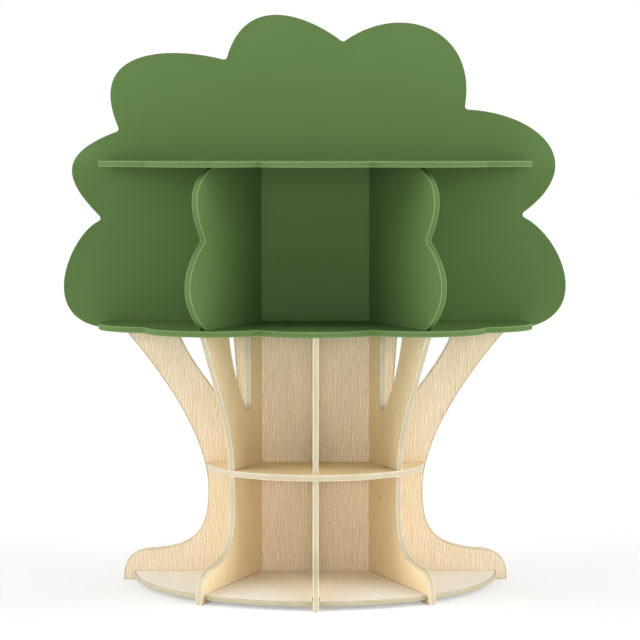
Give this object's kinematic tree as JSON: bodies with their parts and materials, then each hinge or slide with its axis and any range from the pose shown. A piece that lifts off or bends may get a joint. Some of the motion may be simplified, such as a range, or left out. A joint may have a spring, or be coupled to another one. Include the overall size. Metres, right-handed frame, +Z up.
{
  "type": "tree shaped bookshelf",
  "caption": "Free-standing child's bookshelf shaped as a tree: lobed green crown with scalloped shelves on a wood trunk of splayed fins crossing a half-round shelf and base.",
  "frame": {"origin": "middle of the bounding box, on the floor", "axes": "+Z up, the front with the open shelves faces -Y, +X to the right as seen from the front"},
  "size_m": [1.0533, 0.403, 1.1857],
  "materials": {
    "painted_board": "fibreboard with satin green paint",
    "wood_board": "light oak faced board, matt",
    "edge_strip": "cream edging strip",
    "tenon": "plain beech"
  },
  "bodies": {
    "root": {"crown_back": "painted_board", "upper_shelf": "painted_board", "lower_shelf": "painted_board", "left_divider": "painted_board", "right_divider": "painted_board", "trunk_back": "wood_board", "left_fin": "wood_board", "centre_fin": "wood_board", "right_fin": "wood_board", "mid_shelf": "wood_board", "base_board": "wood_board", "trunk_back_edge_band": "edge_strip", "left_fin_edge_band": "edge_strip", "centre_fin_edge_band": "edge_strip", "right_fin_edge_band": "edge_strip", "mid_shelf_edge_band": "edge_strip", "base_edge_band": "edge_strip", "panel_tenons": "tenon", "fin_back_tenons": "tenon", "fin_top_tenons": "tenon", "divider_tenons": "tenon", "shelf_tenons": "tenon"}
  },
  "joints": []
}
